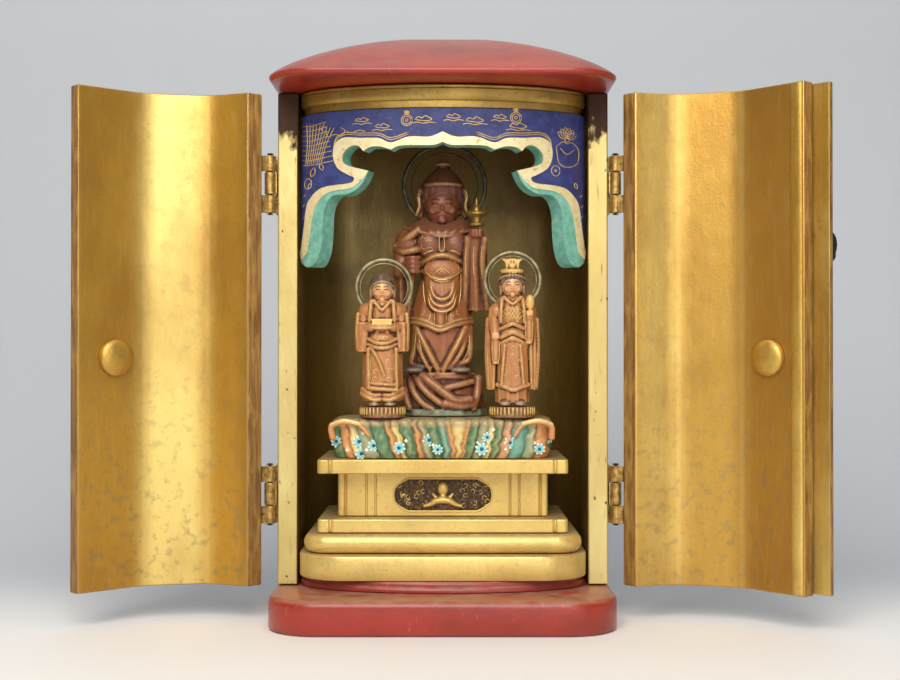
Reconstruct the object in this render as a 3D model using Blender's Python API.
# Household altar cabinet: a lacquered case with two curved doors, a stepped dais, a rock and three carved figures.
# Sizes are in millimetres. +X is to the viewer's right, -Y is towards the viewer, +Z is up, and the origin is the
# centre of the base's underside.
from math import cos, hypot, pi, radians, sin, sqrt, tau

import bmesh
import bpy
from mathutils import Euler, Matrix, Vector

mm = 0.001
gap = 0.3  # between pieces that rest on or against each other

# Case, base and roof
halfDepth = 46.0
baseHalfWidth = 58.8
baseHeight = 11.4
cornerRadius = 17.5
hingeY = -12.5  # the case's front edges and both hinge axes lie in this plane
caseHalfWidth = 57.75
caseWall = 7.0
caseTop = 183.7
roofTop = 203.8
roofNose = 185.7
domeSteps = 9
caseBackRadius = 26.0

# Bowed front shared by the sill, the cornice and the canopy
bowHalfWidth = 50.2
bowDepth = 23.0
bowCentreY = hingeY + 5.0
sillTop = 15.1
corniceBottom = 175.7
canopyTop = 175.4
canopyThickness = 6.0
bendCuts = 9

# Doors, drawn closed and turned open about their hinges
hingeX = 60.4
doorBottom = 12.0
doorTop = 182.8
leftOpenAngle = 137.0
rightOpenAngle = 131.0
doorInnerFacets = ((0.25, -26.0), (26.0, -26.0), (44.6, -14.8), (51.4, -gap))
doorOuterFacets = ((0.25, -30.9), (27.0, -30.9), (48.4, -16.6), (57.2, -gap))
doorInnerReach = 5.0  # how far the rounding of each inner corner spreads
doorOuterReach = 8.0
bossHeight = 91.0
bossFromEdge = 14.5
bossRadius = 6.35
bossRise = 3.1
latchHeight = 128.0
astragalInner = -6.0  # how far the closing strip reaches past the free edge
astragalOuter = 5.0
astragalThickness = 2.3

# Hinges
knuckleRadius = 2.0
pinRadius = 0.55
pinHoleRadius = 0.85
pinHeadRadius = 1.2
leafThickness = 0.8
leafLength = 8.0
caseLeafLift = 0.25  # between each leaf and the wood under it
doorLeafLift = 0.45
hingeKnuckles = (6.5, 8.0, 5.8)  # door, case, door, counted upwards
hingeBottoms = {"lower": 33.0, "upper": 141.4}

# Dais and rock: half width, front and back of each tier, measured from the hinge plane
daisBack = 42.0
plinthTier = (50.0, -15.5, 15.1, 23.9)
plinthRadius = 17.0
bullnoseTier = (48.0, -13.2, 23.9, 30.7)
stepTier = (43.0, -9.7, 30.7, 35.6)
waistTier = (36.6, -1.5, 35.6, 51.0)
slabTier = (43.0, -11.2, 51.0, 56.1)
rockTop = 70.0
rockHalfWidth = 38.7

# Figures: where each stands
guardianPlace = Vector((0.0, hingeY + 13.0, rockTop + gap))
pagePlace = Vector((-20.9, hingeY - 3.0, rockTop + gap))
maidenPlace = Vector((24.1, hingeY - 3.0, rockTop + gap))
pedestalHeight = 3.7
pedestalRadius = 8.3

materialColours = {
    "vermilion_lacquer": ((0.42, 0.06, 0.035), 0.35, 0.0),
    "black_lacquer": ((0.03, 0.014, 0.01), 0.3, 0.0),
    "gilt": ((0.72, 0.46, 0.13), 0.38, 0.6),
    "painted_blue": ((0.03, 0.05, 0.22), 0.5, 0.0),
    "painted_rock": ((0.13, 0.22, 0.14), 0.7, 0.0),
    "carved_wood": ((0.30, 0.12, 0.05), 0.5, 0.1),
    "gold_paint": ((0.72, 0.52, 0.2), 0.35, 0.6),
    "silvered_ring": ((0.42, 0.36, 0.24), 0.4, 0.6),
    "hinge_brass": ((0.42, 0.28, 0.11), 0.4, 0.8),
    "dark_iron": ((0.03, 0.025, 0.02), 0.5, 0.7),
}


def clearScene():
    for obj in list(bpy.data.objects):
        bpy.data.objects.remove(obj, do_unlink=True)


def material(name):
    found = bpy.data.materials.get(name)
    if found:
        return found
    colour, roughness, metallic = materialColours[name]
    made = bpy.data.materials.new(name)
    made.use_nodes = True
    shader = made.node_tree.nodes["Principled BSDF"]
    shader.inputs["Base Color"].default_value = (*colour, 1.0)
    shader.inputs["Roughness"].default_value = roughness
    shader.inputs["Metallic"].default_value = metallic
    return made


def place(name, mesh, materialName, parent=None):
    mesh.materials.append(material(materialName))
    mesh.shade_smooth()
    mesh.set_sharp_from_angle(angle=radians(35))
    obj = bpy.data.objects.new(name, mesh)
    bpy.context.scene.collection.objects.link(obj)
    obj.parent = parent
    return obj


def meshFrom(name, shape, origin=(0, 0, 0)):
    """Turns a shape drawn in millimetres into a mesh in metres about the given origin."""
    bmesh.ops.translate(shape, verts=shape.verts, vec=-Vector(origin))
    bmesh.ops.scale(shape, verts=shape.verts, vec=(mm, mm, mm))
    bmesh.ops.recalc_face_normals(shape, faces=shape.faces)
    mesh = bpy.data.meshes.new(name)
    shape.to_mesh(mesh)
    shape.free()
    return mesh


def cut(target, helper, operation="DIFFERENCE", ownOverlaps=False):
    helper.hide_render = True
    helper.display_type = "WIRE"
    change = target.modifiers.new(operation.lower(), "BOOLEAN")
    change.operation = operation
    change.object = helper
    change.use_self = ownOverlaps


# Outlines


def arc(centreX, centreY, radius, start, end, steps):
    """Points of a circular arc from one angle to another, in degrees."""
    angles = [radians(start + (end - start) * i / steps) for i in range(steps + 1)]
    return [(centreX + radius * cos(a), centreY + radius * sin(a)) for a in angles]


def roundedRectangle(halfX, front, back, radius, steps=6):
    """Anticlockwise outline seen from above, with the same number of points whatever its size."""
    right, left = halfX - radius, radius - halfX
    return (
        arc(left, front + radius, radius, 180, 270, steps)
        + arc(right, front + radius, radius, 270, 360, steps)
        + arc(right, back - radius, radius, 0, 90, steps)
        + arc(left, back - radius, radius, 90, 180, steps)
    )


def groovedRectangle(halfX, front, back, post, groove=0.9, soft=1.6):
    """Outline whose corner posts are set off by a small groove on every side."""
    quarter = [
        (halfX - post - groove, 0.0),
        (halfX - post, groove),
        (halfX - post + groove * 0.7, 0.0),
    ]
    quarter += [(x, y + soft) for x, y in arc(halfX - soft, 0.0, soft, 270, 360, 4)]
    quarter += [(halfX, post - groove * 0.7), (halfX - groove, post), (halfX, post + groove)]
    frontRight = [(x, front + y) for x, y in quarter]
    backRight = [(x, back - y) for x, y in reversed(quarter)]
    backLeft = [(-x, back - y) for x, y in quarter]
    frontLeft = [(-x, front + y) for x, y in reversed(quarter)]
    return frontRight + backRight + backLeft + frontLeft


def softCorners(points, reach, steps=6):
    """A run of straight facets whose inner corners are rounded over the given reach."""
    path = [points[0]]
    for before, corner, after in zip(points, points[1:], points[2:]):
        corner = Vector(corner)
        start = corner + (Vector(before) - corner).normalized() * reach
        end = corner + (Vector(after) - corner).normalized() * reach
        for i in range(steps + 1):
            t = i / steps
            path.append(tuple(start.lerp(corner, t).lerp(corner.lerp(end, t), t)))
    return path + [points[-1]]


def curveThrough(points, steps=5):
    """Catmull-Rom curve through the points, straight on at both ends."""
    ends = [2 * Vector(points[0]) - Vector(points[1])]
    tail = [2 * Vector(points[-1]) - Vector(points[-2])]
    knots = ends + [Vector(p) for p in points] + tail
    path = []
    for a, b, c, d in zip(knots, knots[1:], knots[2:], knots[3:]):
        for i in range(steps):
            t = i / steps
            path.append(
                tuple(
                    0.5
                    * (2 * b + (c - a) * t + (2 * a - 5 * b + 4 * c - d) * t**2 + (3 * b - a - 3 * c + d) * t**3)
                )
            )
    return path + [tuple(points[-1])]


def bowY(x, inset=0.0):
    """Front of the bowed plan at a distance x from the middle."""
    reach = min(1.0, abs(x) / (bowHalfWidth - inset))
    return bowCentreY - (bowDepth - inset) * sqrt(1.0 - reach * reach)


def bowedOutline(inset, back, steps=18):
    """The bowed front, closed by a straight back with corners that clear the case."""
    half = bowHalfWidth - inset
    front = [(half * sin(pi * (i / steps - 0.5)), 0.0) for i in range(steps + 1)]
    front = [(x, bowY(x, inset)) for x, _ in front]
    radius = caseBackRadius - caseWall
    rear = arc(half - radius, back - radius, radius, 0, 90, 5)
    return front + rear + arc(radius - half, back - radius, radius, 90, 180, 5)


# Solids


def skin(shape, rings):
    """Skins a stack of closed rings with equal numbers of points and caps both ends."""
    layers = [[shape.verts.new(point) for point in ring] for ring in rings]
    for low, high in zip(layers, layers[1:]):
        for i in range(len(low)):
            j = (i + 1) % len(low)
            shape.faces.new((low[i], low[j], high[j], high[i]))
    shape.faces.new(list(reversed(layers[0])))
    shape.faces.new(layers[-1])


def stack(name, levels, materialName, parent=None, origin=(0, 0, 0)):
    """A solid from outlines at rising heights: levels holds (height, outline)."""
    shape = bmesh.new()
    skin(shape, [[(x, y, z) for x, y in outline] for z, outline in levels])
    return place(name, meshFrom(name, shape, origin), materialName, parent)


def turned(name, profile, centre, sides, materialName, parent=None, origin=(0, 0, 0)):
    """A solid turned about a vertical line: profile holds (radius, height)."""
    shape = bmesh.new()
    addTurned(shape, profile, centre, sides)
    return place(name, meshFrom(name, shape, origin), materialName, parent)


def addTurned(shape, profile, centre, sides):
    rings = []
    for radius, height in profile:
        circle = [tau * i / sides for i in range(sides)]
        rings.append([(centre[0] + radius * cos(a), centre[1] + radius * sin(a), centre[2] + height) for a in circle])
    skin(shape, rings)


def addBall(shape, centre, radii, turn=(0, 0, 0), sides=14, rings=10):
    seat = Matrix.Translation(centre) @ Euler([radians(t) for t in turn]).to_matrix().to_4x4()
    bmesh.ops.create_uvsphere(
        shape, u_segments=sides, v_segments=rings, radius=1, matrix=seat @ Matrix.Diagonal((*radii, 1))
    )


def addLimb(shape, start, startRadius, end, endRadius, sides=12):
    """A tapered arm or leg with round ends."""
    start, end = Vector(start), Vector(end)
    along = end - start
    seat = Matrix.Translation((start + end) / 2) @ along.to_track_quat("Z", "Y").to_matrix().to_4x4()
    bmesh.ops.create_cone(
        shape, cap_ends=True, segments=sides, radius1=startRadius, radius2=endRadius, depth=along.length, matrix=seat
    )
    for point, radius in ((start, startRadius), (end, endRadius)):
        addBall(shape, point, (radius,) * 3, sides=sides, rings=sides * 3 // 4)


def addRobe(shape, levels, folds=0, depth=0.0, phase=0.0, sides=48):
    """Oval rings stacked into cloth, with upright folds: levels holds (z, centre x, centre y, half x, half y)."""
    rings = []
    for z, centreX, centreY, halfX, halfY in levels:
        ring = []
        for i in range(sides):
            a = tau * i / sides
            wave = 1.0 + depth * cos(folds * a + phase)
            ring.append((centreX + halfX * cos(a) * wave, centreY + halfY * sin(a) * wave, z))
        rings.append(ring)
    skin(shape, rings)


def carving(name, shape, spot, triangles, materialName, voxel=0.55):
    """Joins the overlapping lumps of a figure into one closed carving of about the given number of triangles."""
    bmesh.ops.translate(shape, verts=shape.verts, vec=spot)
    lumps = place(name, meshFrom(name, shape), materialName)
    remesh = lumps.modifiers.new("one skin", "REMESH")
    remesh.mode = "VOXEL"
    remesh.voxel_size = voxel * mm
    view = bpy.context.evaluated_depsgraph_get()
    joined = lumps.evaluated_get(view).to_mesh()
    joined.calc_loop_triangles()
    share = triangles / len(joined.loop_triangles)
    lumps.evaluated_get(view).to_mesh_clear()
    thin = lumps.modifiers.new("fewer faces", "DECIMATE")
    thin.ratio = min(1.0, share)
    return lumps


# Case


def makeBase():
    def ring(inset):
        return roundedRectangle(baseHalfWidth - inset, inset - halfDepth, halfDepth - inset, cornerRadius - inset)

    levels = [(0.0, ring(0.5)), (0.5, ring(0.0)), (9.9, ring(0.0)), (11.0, ring(0.5)), (baseHeight, ring(1.5))]
    stack("base", levels, "vermilion_lacquer")


def makeRoof():
    """A domed board: its rim turns in below, and its top falls away from the middle."""
    underside = caseTop + gap
    rise = roofTop - roofNose

    def ring(scale):
        outline = roundedRectangle(baseHalfWidth, -halfDepth, halfDepth, cornerRadius)
        points = []
        for x, y in outline:
            oval = 1.0 / hypot(x / baseHalfWidth, y / halfDepth)
            grow = scale * (1.0 + (oval - 1.0) * max(0.0, 1.0 - scale))
            points.append((x * grow, y * grow))
        return points

    levels = [(underside, ring(0.975)), (underside + 0.5, ring(0.995)), (roofNose, ring(1.0))]
    for i in range(1, domeSteps):
        scale = cos(pi / 2 * i / domeSteps)
        levels.append((roofNose + rise * (1.0 - scale * scale) ** 0.8, ring(scale)))
    stack("roof", levels, "vermilion_lacquer")


def makeCase():
    def wall(half, back, radius, reverse):
        outline = [(half, hingeY)] + arc(half - radius, back - radius, radius, 0, 90, 10)
        outline += arc(radius - half, back - radius, radius, 90, 180, 10) + [(-half, hingeY)]
        return outline[::-1] if reverse else outline

    back = halfDepth - 1.0
    outline = wall(caseHalfWidth, back, caseBackRadius, False)
    outline += wall(caseHalfWidth - caseWall, back - caseWall, caseBackRadius - caseWall, True)
    stack("case", [(baseHeight + gap, outline), (caseTop, outline)], "black_lacquer")


def makeSillAndCornice():
    back = halfDepth - 1.0 - caseWall - gap
    foot = baseHeight + gap
    sill = [(foot, 0.0), (foot + 1.0, 0.0), (foot + 1.9, 0.9), (sillTop, 0.9)]
    stack("sill", [(z, bowedOutline(inset, back)) for z, inset in sill], "vermilion_lacquer")
    bands = [
        (corniceBottom, 1.6),
        (corniceBottom + 2.6, 1.4),
        (corniceBottom + 3.2, 0.5),
        (corniceBottom + 4.6, 0.1),
        (caseTop - 0.2, 0.1),
    ]
    stack("cornice", [(z, bowedOutline(inset, back)) for z, inset in bands], "gilt")


def canopyEdge():
    """Half of the scalloped lower edge, from the middle to the tail's tip, as (x, z)."""
    middle = [(0.0, 163.9), (3.1, 162.9), (9.3, 162.9), (14.7, 162.7), (17.4, 161.5)]
    second = [(17.4, 161.5), (21.0, 162.6), (24.5, 162.6), (26.9, 161.3)]
    eye = [(26.9, 161.3), (28.6, 163.1), (31.0, 163.2), (33.3, 161.6), (34.2, 159.3), (32.8, 156.8), (25.1, 154.5)]
    tail = [(25.1, 154.5), (26.9, 151.0), (29.6, 148.2), (33.0, 146.8), (37.0, 146.7), (39.6, 144.4)]
    tail += [(41.0, 140.3), (41.3, 134.8), (42.0, 128.5), (43.9, 124.0), (46.8, 122.4), (49.6, 124.4)]
    path = []
    for run in (middle, second, eye, tail):
        path += curveThrough(run, 3)[:-1]
    return path + [(49.9, 128.0)]


def makeCanopy():
    """A flat scalloped board bent round the bowed plan."""
    half = canopyEdge()
    outline = [(-x, z) for x, z in reversed(half)] + half[1:] + [(49.9, canopyTop), (-49.9, canopyTop)]
    shape = bmesh.new()
    face = shape.faces.new([shape.verts.new((x, 0.0, z)) for x, z in outline])
    moved = bmesh.ops.extrude_face_region(shape, geom=[face])["geom"]
    bmesh.ops.translate(
        shape, verts=[v for v in moved if isinstance(v, bmesh.types.BMVert)], vec=(0, canopyThickness, 0)
    )
    for i in range(1 - bendCuts, bendCuts):
        x = bowHalfWidth * sin(pi / 2 * i / bendCuts)
        everything = list(shape.verts) + list(shape.edges) + list(shape.faces)
        bmesh.ops.bisect_plane(shape, geom=everything, dist=1e-5, plane_co=(x, 0, 0), plane_no=(1, 0, 0))
    for vert in shape.verts:
        x, inwards, z = vert.co
        y = bowY(x, 0.2)
        normal = Vector((x / (bowHalfWidth - 0.2) ** 2, (y - bowCentreY) / (bowDepth - 0.2) ** 2, 0)).normalized()
        vert.co = Vector((x, y, z)) - normal * inwards
    place("canopy", meshFrom("canopy", shape), "painted_blue")


# Dais


def makeDais():
    back = hingeY + daisBack
    half, front, low, high = plinthTier
    outline = roundedRectangle(half, hingeY + front, back, plinthRadius)
    inner = roundedRectangle(half - 0.6, hingeY + front + 0.6, back - 0.6, plinthRadius - 0.6)
    stack("dais_plinth", [(low + gap, outline), (high - 0.6, outline), (high, inner)], "gilt")

    half, front, low, high = bullnoseTier
    levels = []
    for i in range(6):
        angle = pi * i / 5 - pi / 2
        inset = 2.6 * (1.0 - cos(angle))
        ring = roundedRectangle(half - inset, hingeY + front + inset, back - 2.0 - inset, 9.0 - inset)
        levels.append((low + gap + (high - low - gap) * (0.5 + 0.5 * sin(angle)), ring))
    stack("dais_bullnose", levels, "gilt")

    half, front, low, high = stepTier
    outline = groovedRectangle(half, hingeY + front, back - 5.0, 4.4)
    stack("dais_step", [(low + gap, outline), (high, outline)], "gilt")

    half, front, low, high = slabTier
    outline = groovedRectangle(half, hingeY + front, back - 4.0, 4.4)
    stack("dais_slab", [(low + gap, outline), (high, outline)], "gilt")


def lobedPanel(half, low, high, lobe):
    """Outline (x, z) of the cartouche: a long panel whose ends are cusped lobes."""
    middle = (low + high) / 2
    rise = (high - low) / 2
    end = curveThrough(
        [(half - lobe, -rise), (half - lobe * 0.45, -rise * 0.72), (half - lobe * 0.1, -rise * 0.42), (half, 0.0)], 4
    )
    right = end + [(x, -z) for x, z in reversed(end[:-1])]
    left = [(-x, -z) for x, z in right]
    return [(x, middle + z) for x, z in right + left]


def makeWaist():
    half, front, low, high = waistTier
    face = hingeY + front
    outline = groovedRectangle(half, face, hingeY + daisBack - 9.0, 2.6, 0.7, 1.0)
    waist = stack("dais_waist", [(low + gap, outline), (high, outline)], "gilt")

    panel = lobedPanel(17.2, 37.5, 48.9, 5.2)
    shape = bmesh.new()
    skin(shape, [[(x, y, z) for x, z in panel] for y in (face + 1.4, face - 2.0)])
    for side in (-1, 1):
        for x in (23.4, 26.6):
            groove = roundedRectangle(0.35, face - 1.0, face + 0.6, 0.3, 2)
            skin(shape, [[(side * x + gx, gy, z) for gx, gy in groove] for z in (low - 1.0, high + 1.0)])
    cutter = place("waist_cutter", meshFrom("waist_cutter", shape), "gilt")
    cut(waist, cutter)

    shape = bmesh.new()
    addBall(shape, (0.0, face + 1.0, 45.0), (2.0, 1.3, 2.4), sides=8, rings=6)
    for side in (-1, 1):
        addLimb(shape, (0.0, face + 1.0, 42.2), 1.3, (side * 5.2, face + 1.0, 39.6), 0.9, 6)
    motif = place("waist_motif", meshFrom("waist_motif", shape), "gilt")
    cut(waist, motif, "UNION", True)


def makeRock():
    """Slanting ridges of stone round an oval block, rolled over at the upper ends."""
    front, back = hingeY - 8.4, hingeY + 30.0
    centreY = (front + back) / 2
    halfY = (back - front) / 2
    low = slabTier[3] + gap
    sides = 68
    rings = []
    for z, swell in ((low, -0.6), (59.0, 0.0), (64.5, 0.0), (67.5, 0.5), (rockTop, -1.4)):
        ring = []
        lean = (z - low) * 0.11
        for i in range(sides):
            a = tau * i / sides
            x = abs(cos(a)) ** 0.42 * (1 if cos(a) > 0 else -1)
            y = abs(sin(a)) ** 0.42 * (1 if sin(a) > 0 else -1)
            ridge = 0.9 * abs(sin(8.5 * a + lean)) - 0.9
            grow = swell + ridge * (0.0 if z == rockTop else 1.0)
            ring.append((x * (rockHalfWidth + grow), centreY + y * (halfY + grow), z))
        rings.append(ring)
    shape = bmesh.new()
    skin(shape, rings)
    place("rock", meshFrom("rock", shape), "painted_rock")


# Figures: heights are measured from the rock's top, x and y from the middle of each figure


def makeGuardian():
    shape = bmesh.new()
    ledge = [(0.0, 0, 0, 15.6, 9.4), (5.5, 0, 0, 15.2, 9.2), (11.0, 0, 0, 14.0, 8.4), (15.2, -1, 0, 12.2, 7.4)]
    addRobe(shape, ledge, 7, 0.06)
    for x in (-7.4, 5.2):
        addBall(shape, (x, -4.8, 16.2), (2.7, 3.8, 1.8))
    trousers = [(16.6, -2.0, 0, 11.0, 7.2), (19.5, -2.0, 0, 11.6, 7.6), (27.0, -1.2, 0, 11.0, 7.2)]
    trousers.append((34.0, -0.6, 0, 9.0, 6.6))
    addRobe(shape, trousers, 9, 0.07, 0.6)
    skirt = [(31.0, -0.9, 0, 11.6, 8.0), (33.0, -0.9, 0, 11.4, 8.1), (40.0, -0.5, 0, 9.8, 7.4)]
    skirt.append((48.0, -0.3, 0, 7.8, 6.6))
    addRobe(shape, skirt, 11, 0.045)
    addRobe(shape, [(33.5, -0.4, -6.2, 6.4, 2.6), (42.0, -0.4, -5.8, 6.2, 2.6), (50.0, -0.3, -5.4, 6.0, 2.2)])
    torso = [(46.0, -0.3, 0, 7.6, 6.4), (52.0, -0.3, -0.3, 8.2, 7.2), (58.0, -1.0, 0, 9.4, 6.6)]
    torso += [(64.0, -0.8, 0, 10.0, 6.0), (67.5, -0.3, 0, 8.0, 5.4)]
    addRobe(shape, torso)
    addBall(shape, (-0.3, -6.0, 52.2), (6.8, 2.4, 4.9))
    collar = [(63.4, -0.2, -0.6, 7.0, 6.4), (67.0, 0.0, -0.4, 13.6, 7.4), (70.2, 0.2, -0.2, 12.6, 7.0)]
    collar.append((72.4, 0.0, 0, 8.0, 6.0))
    addRobe(shape, collar, 13, 0.02)
    addBall(shape, (-12.6, 0.0, 61.0), (5.2, 5.2, 5.6))
    addLimb(shape, (-14.3, 0.4, 59.0), 3.5, (-14.8, -1.6, 51.5), 3.3)
    addLimb(shape, (-14.6, -1.8, 51.4), 3.2, (-10.8, -5.4, 53.0), 2.6)
    addBall(shape, (-10.4, -6.4, 53.2), (2.9, 2.3, 3.7))
    hanging = [(34.0, -14.2, 1.0, 2.6, 3.4), (44.0, -14.6, 0.6, 3.2, 4.0), (52.0, -14.6, 0.2, 3.2, 3.8)]
    addRobe(shape, hanging, 5, 0.06)
    sleeve = [(37.5, 11.6, -0.8, 3.8, 3.0), (46.0, 11.4, -1.2, 4.5, 3.8), (56.0, 11.2, -3.2, 4.6, 4.2)]
    addRobe(shape, sleeve + [(64.0, 11.6, -6.8, 3.8, 3.2)], 6, 0.06)
    addBall(shape, (11.9, -8.4, 64.4), (2.8, 2.8, 1.8))
    addBall(shape, (-0.3, -0.8, 75.4), (6.0, 6.2, 7.4))
    for x in (-8.3, 8.0):
        addBall(shape, (x, 0.4, 76.0), (1.9, 3.6, 5.4))
    helmet = [(73.0, 0, 1.4, 8.6, 5.4), (79.0, 0, 0.6, 8.4, 6.6), (82.4, 0, 0.2, 7.4, 6.6)]
    addRobe(shape, helmet + [(85.6, 0, 0.2, 5.4, 5.0), (88.3, 0, 0.2, 2.4, 2.4)])
    addTurned(shape, [(2.0, 0.0), (1.8, 1.0), (2.5, 1.6), (3.2, 2.2), (1.8, 3.8), (0.4, 5.2)], (0, 0.2, 87.5), 14)
    carving("guardian", shape, guardianPlace, 1700, "carved_wood")

    stupa = [(2.2, 0.0), (2.6, 1.0), (1.5, 1.6), (1.7, 3.2), (3.6, 3.8), (3.9, 4.8)]
    stupa += [(1.6, 5.4), (1.3, 6.6), (0.5, 8.2), (0.3, 10.2)]
    turned("guardian_stupa", stupa, guardianPlace + Vector((11.9, -8.8, 66.9)), 12, "gold_paint")
    makeHalo("guardian_halo", guardianPlace + Vector((0.5, 8.0, 83.2)), 15.6, 1.6, 12.3, 26.0)


def makeHalo(name, centre, radius, band, innerRadius, drop, steps=20):
    """Two thin upright rings on a short stem: an outer band and a finer one inside it."""
    shape = bmesh.new()
    for size, width, thick in ((radius - band / 2, band, 0.7), (innerRadius - 0.25, 0.5, 0.5)):
        layers = []
        for i in range(steps):
            a = tau * i / steps
            layers.append([])
            for r, y in ((-width, -thick), (width, -thick), (width, thick), (-width, thick)):
                reach = size + r / 2
                spot = (centre[0] + reach * cos(a), centre[1] + y / 2, centre[2] + reach * sin(a))
                layers[-1].append(shape.verts.new(spot))
        for low, high in zip(layers, layers[1:] + layers[:1]):
            for i in range(4):
                shape.faces.new((low[i], low[(i + 1) % 4], high[(i + 1) % 4], high[i]))
    stem = bpy.data.meshes.new(name + "_stem")
    upright = bmesh.new()
    top = centre[2] - innerRadius + 0.2
    bmesh.ops.create_cube(upright, size=1.0)
    bmesh.ops.scale(upright, verts=upright.verts, vec=(1.6, 0.9, top - centre[2] + drop))
    bmesh.ops.translate(upright, verts=upright.verts, vec=(centre[0], centre[1], (top + centre[2] - drop) / 2))
    bmesh.ops.scale(upright, verts=upright.verts, vec=(mm, mm, mm))
    upright.to_mesh(stem)
    upright.free()
    halo = place(name, meshFrom(name, shape), "silvered_ring")
    cut(halo, place(name + "_stem", stem, "silvered_ring"), "UNION", True)


def makePedestal(name, spot):
    """A ribbed disc, a little wider at its foot."""
    ribs = 20
    rings = []
    for z, radius, depth in ((0.0, 0.99, 0.03), (1.4, 0.93, 0.03), (pedestalHeight, 0.98, 0.03)):
        ring = []
        for i in range(ribs * 2):
            a = tau * i / (ribs * 2)
            r = pedestalRadius * (radius - (depth if i % 2 else 0.0))
            ring.append((spot[0] + r * cos(a), spot[1] + r * 0.86 * sin(a), spot[2] + z))
        rings.append(ring)
    shape = bmesh.new()
    skin(shape, rings)
    place(name, meshFrom(name, shape), "carved_wood")


def addHead(shape, z, hairBack):
    """A small rounded head under a close cap of hair."""
    addLimb(shape, (0, 0.2, z - 5.5), 2.3, (0, 0, z - 2.0), 2.3)
    addBall(shape, (0, -0.7, z), (3.5, 3.8, 4.3))
    addBall(shape, (0, 0.4, z + hairBack), (4.5, 4.2, 4.3))
    for side in (-1, 1):
        addBall(shape, (side * 4.4, 0.6, z - 2.6), (1.5, 1.5, 1.2))


def makePage():
    shape = bmesh.new()
    for side in (-1, 1):
        addBall(shape, (side * 2.6, -3.4, 5.0), (2.1, 3.0, 1.1))
        addBall(shape, (side * 4.9, 0.0, 37.0), (3.0, 3.4, 3.0))
        addLimb(shape, (side * 5.8, 0.0, 37.0), 2.7, (side * 7.0, -0.8, 31.0), 2.4)
        addLimb(shape, (side * 6.6, -1.4, 31.0), 2.2, (side * 2.6, -5.0, 31.4), 1.8)
        sleeve = [(22.6, side * 7.0, -1.4, 1.9, 2.9), (27.0, side * 7.0, -1.3, 2.3, 3.2)]
        sleeve.append((33.0, side * 6.8, -1.0, 2.3, 2.9))
        addRobe(shape, sleeve)
    robe = [(5.2, 0, 0, 6.4, 4.8), (7.2, 0, 0, 7.4, 5.4), (9.4, 0, 0, 6.9, 5.0), (22.0, 0, 0, 6.7, 5.0)]
    robe += [(30.0, 0, 0, 6.0, 4.7), (36.0, 0, 0, 6.2, 4.6), (39.6, 0, 0, 5.2, 3.9), (41.2, 0, 0, 2.8, 2.6)]
    addRobe(shape, robe, 8, 0.035)
    addRobe(shape, [(9.2, 0.3, -3.9, 4.9, 2.0), (16.0, 0.2, -3.8, 4.8, 2.0), (24.0, 0, -3.6, 4.5, 1.9)])
    addBall(shape, (0, -3.4, 26.8), (4.4, 2.4, 2.8))
    box = Matrix.Translation((0, -5.9, 32.9)) @ Matrix.Diagonal((7.2, 2.6, 2.0, 1))
    bmesh.ops.create_cube(shape, size=1.0, matrix=box)
    addHead(shape, 44.2, 1.7)
    carving("page", shape, pagePlace, 850, "carved_wood", 0.4)
    makePedestal("page_pedestal", pagePlace)
    makeHalo("page_halo", pagePlace + Vector((0.2, 5.5, 45.4)), 10.3, 1.3, 8.6, 12.0)


def makeMaiden():
    shape = bmesh.new()
    for side in (-1, 1):
        addBall(shape, (side * 2.6, -3.4, 5.0), (2.1, 3.0, 1.2))
        addBall(shape, (side * 5.2, 0.0, 37.0), (3.0, 3.4, 3.0))
        outer = [(9.6, side * 7.2, 0.0, 1.7, 2.6), (17.0, side * 7.3, 0.0, 1.9, 2.8)]
        outer += [(29.0, side * 7.0, 0.2, 2.1, 3.0), (38.0, side * 6.0, 0, 2.2, 2.8)]
        addRobe(shape, outer, 4, 0.06)
    addLimb(shape, (5.6, -1.0, 30.0), 2.2, (5.8, -4.0, 35.4), 1.7)
    addRobe(shape, [(25.5, 5.6, -3.4, 1.4, 1.9), (30.0, 5.7, -3.3, 1.8, 2.2), (35.0, 5.7, -3.0, 1.8, 2.0)])
    addBall(shape, (6.0, -4.2, 39.6), (1.5, 1.6, 3.0))
    addLimb(shape, (-6.2, -1.0, 33.0), 2.3, (-6.0, -4.0, 28.6), 1.8)
    addRobe(shape, [(18.5, -5.8, -3.2, 1.3, 1.8), (23.0, -5.9, -3.2, 1.7, 2.1), (28.5, -5.9, -3.0, 1.8, 2.0)])
    robe = [(5.2, 0, 0, 5.6, 4.6), (11.0, 0, 0, 5.8, 4.8), (22.0, 0, 0, 6.2, 4.8), (30.0, 0, 0, 5.6, 4.4)]
    robe += [(37.0, 0, 0, 6.0, 4.4), (40.6, 0, 0, 5.0, 3.8), (42.4, 0, 0, 2.8, 2.6)]
    addRobe(shape, robe, 8, 0.035)
    addRobe(shape, [(9.8, 0.2, -3.4, 5.4, 2.4), (18.0, 0.1, -3.3, 5.2, 2.3), (26.0, 0, -3.2, 4.9, 2.1)])
    addBall(shape, (0, -3.2, 28.6), (4.6, 2.2, 2.8))
    addHead(shape, 45.8, 1.2)
    crown = [(3.6, 0.0), (4.1, 0.8), (4.0, 1.4), (2.2, 1.9), (2.6, 3.4), (3.2, 4.6), (2.6, 5.0)]
    addTurned(shape, crown, (0, 0.2, 49.8), 16)
    carving("maiden", shape, maidenPlace, 850, "carved_wood", 0.4)
    makePedestal("maiden_pedestal", maidenPlace)
    makeHalo("maiden_halo", maidenPlace + Vector((0.4, 5.5, 48.0)), 10.3, 1.3, 8.6, 14.0)


# Doors


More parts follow.
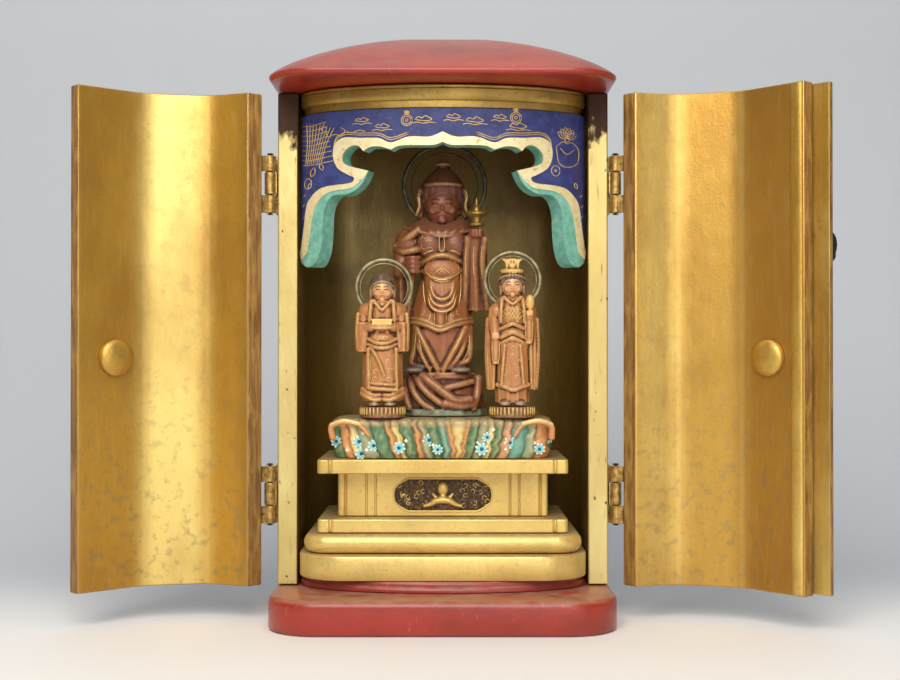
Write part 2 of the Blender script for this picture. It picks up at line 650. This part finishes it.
def hingeAxis(side):
    """An empty on the hinge axis, turned to the open pose. side is -1 for the left door and 1 for the right one."""
    name = "left_hinge_axis" if side < 0 else "right_hinge_axis"
    axis = bpy.data.objects.new(name, None)
    bpy.context.scene.collection.objects.link(axis)
    axis.location = (side * hingeX * mm, hingeY * mm, 0.0)
    angle = -leftOpenAngle if side < 0 else rightOpenAngle
    axis.rotation_euler = (0.0, 0.0, radians(angle))
    return axis


def doorPoint(side, x, y):
    """A point of the closed door's plan, from its distance to the middle and to the hinge plane."""
    return (side * x, hingeY + y)


def makeDoor(side, axis):
    word = "left" if side < 0 else "right"
    origin = (side * hingeX, hingeY, 0.0)
    inner = softCorners(doorInnerFacets, doorInnerReach)
    outer = softCorners(doorOuterFacets, doorOuterReach)
    outline = [doorPoint(side, x, y) for x, y in inner + outer[::-1]]
    stack(word + "_door", [(doorBottom, outline), (doorTop, outline)], "gilt", axis, origin)

    shape = bmesh.new()
    steps = 4
    angles = [pi / 2 * i / steps for i in range(steps)]
    profile = [(bossRadius * cos(a), bossRise * sin(a)) for a in angles]
    addTurned(shape, profile + [(0.3, bossRise)], (0, 0, 0), 14)
    seatY = hingeY + doorInnerFacets[0][1] + gap
    bmesh.ops.rotate(shape, verts=shape.verts, matrix=Matrix.Rotation(radians(-90), 3, "X"))
    bmesh.ops.translate(shape, verts=shape.verts, vec=(side * bossFromEdge, seatY, bossHeight))
    place(word + "_boss", meshFrom(word + "_boss", shape, origin), "gilt", axis)


def makeAstragal(axis):
    """The closing strip on the outside of the right door's free edge, reaching past it over the left door."""
    origin = (hingeX, hingeY, 0.0)
    back = hingeY + doorOuterFacets[0][1] - gap
    low, high, thick = astragalInner, astragalOuter, astragalThickness
    outline = [(low, back), (low, back - thick + 0.6)] + arc(low + 0.6, back - thick + 0.6, 0.6, 180, 270, 3)[1:]
    outline += arc(high - 1.8, back - thick + 1.8, 1.8, 270, 360, 4) + [(high, back)]
    stack("astragal", [(doorBottom + 0.6, outline), (doorTop - 0.6, outline)], "black_lacquer", axis, origin)

    shape = bmesh.new()
    addTurned(shape, [(2.9, 0.0), (3.1, 0.5), (2.0, 1.0), (1.7, 2.0), (2.2, 2.6)], (0, 0, 0), 14)
    addBall(shape, (0, 0, 4.2), (3.2, 5.4, 2.4))
    bmesh.ops.rotate(shape, verts=shape.verts, matrix=Matrix.Rotation(radians(90), 3, "X"))
    bmesh.ops.translate(shape, verts=shape.verts, vec=(-1.0, back - thick - gap, latchHeight))
    latch = place("latch", meshFrom("latch", shape, origin), "dark_iron", axis)
    joined = latch.modifiers.new("one skin", "REMESH")
    joined.mode = "VOXEL"
    joined.voxel_size = 0.5 * mm
    thin = latch.modifiers.new("fewer faces", "DECIMATE")
    thin.ratio = 0.12


def addPlate(shape, start, along, outwards, lift, reach, low, high):
    """A flat plate that starts beside the barrel: reach holds its start and end along the face."""
    face = lift + leafThickness
    corners = ((reach[0], lift), (reach[1], lift), (reach[1], face), (reach[0], face))
    outline = [Vector(start) + Vector(along) * distance + Vector(outwards) * height for distance, height in corners]
    skin(shape, [[(p.x, p.y, z) for p in outline] for z in (low, high)])


def makeHinge(side, level, axis):
    word = ("left_" if side < 0 else "right_") + level
    bottom = hingeBottoms[level]
    edges = [bottom, bottom + hingeKnuckles[0], bottom + sum(hingeKnuckles[:2]), bottom + sum(hingeKnuckles)]
    spans = [(edges[i] + gap / 2, edges[i + 1] - gap / 2) for i in range(3)]
    origin = (side * hingeX, hingeY, 0.0)
    barrel = (side * hingeX, hingeY, 0.0)

    near, far = doorOuterFacets[3], doorOuterFacets[2]
    length = hypot(far[0] - near[0], far[1] - near[1])
    doorAlong = (side * (far[0] - near[0]) / length, (far[1] - near[1]) / length)
    doorOut = (-side * doorAlong[1], side * doorAlong[0])
    caseCorner = (side * caseHalfWidth, hingeY + gap)
    faces = {
        "door": (doorPoint(side, *near), doorAlong, doorOut, doorLeafLift, -1.6, (0, 2), axis, origin),
        "case": (caseCorner, (0.0, 1.0), (float(side), 0.0), caseLeafLift, -0.6, (1,), None, (0, 0, 0)),
    }
    for part, (start, along, outwards, lift, tabStart, owned, parent, centre) in faces.items():
        shape = bmesh.new()
        addPlate(shape, start, along, outwards, lift, (2.6, leafLength), bottom, edges[3])
        for i in owned:
            low, high = spans[i]
            addPlate(shape, start, along, outwards, lift, (tabStart, 3.0), low + 0.05, high - 0.05)
            addTurned(shape, [(knuckleRadius, 0.0), (knuckleRadius, high - low)], (barrel[0], barrel[1], low), 10)
        name = f"{word}_{part}_leaf"
        leaf = place(name, meshFrom(name, shape, centre), "hinge_brass", parent)
        shape = bmesh.new()
        addTurned(shape, [(pinHoleRadius, 0.0), (pinHoleRadius, 40.0)], (barrel[0], barrel[1], bottom - 8.0), 8)
        hole = place(name + "_hole", meshFrom(name + "_hole", shape, centre), "hinge_brass", parent)
        cut(leaf, hole, "DIFFERENCE", True)
    top = edges[3] - bottom + gap
    pin = [(pinHeadRadius, -0.5), (pinHeadRadius, -gap), (pinRadius, -gap), (pinRadius, top)]
    pin += [(pinHeadRadius, top), (pinHeadRadius - 0.3, top + 0.5)]
    turned(word + "_pin", pin, (barrel[0], barrel[1], bottom), 8, "dark_iron")


def build():
    clearScene()
    makeBase()
    makeCase()
    makeRoof()
    makeSillAndCornice()
    makeCanopy()
    makeDais()
    makeWaist()
    makeRock()
    makeGuardian()
    makePage()
    makeMaiden()
    for side in (-1, 1):
        axis = hingeAxis(side)
        makeDoor(side, axis)
        if side > 0:
            makeAstragal(axis)
        for level in hingeBottoms:
            makeHinge(side, level, axis)


build()
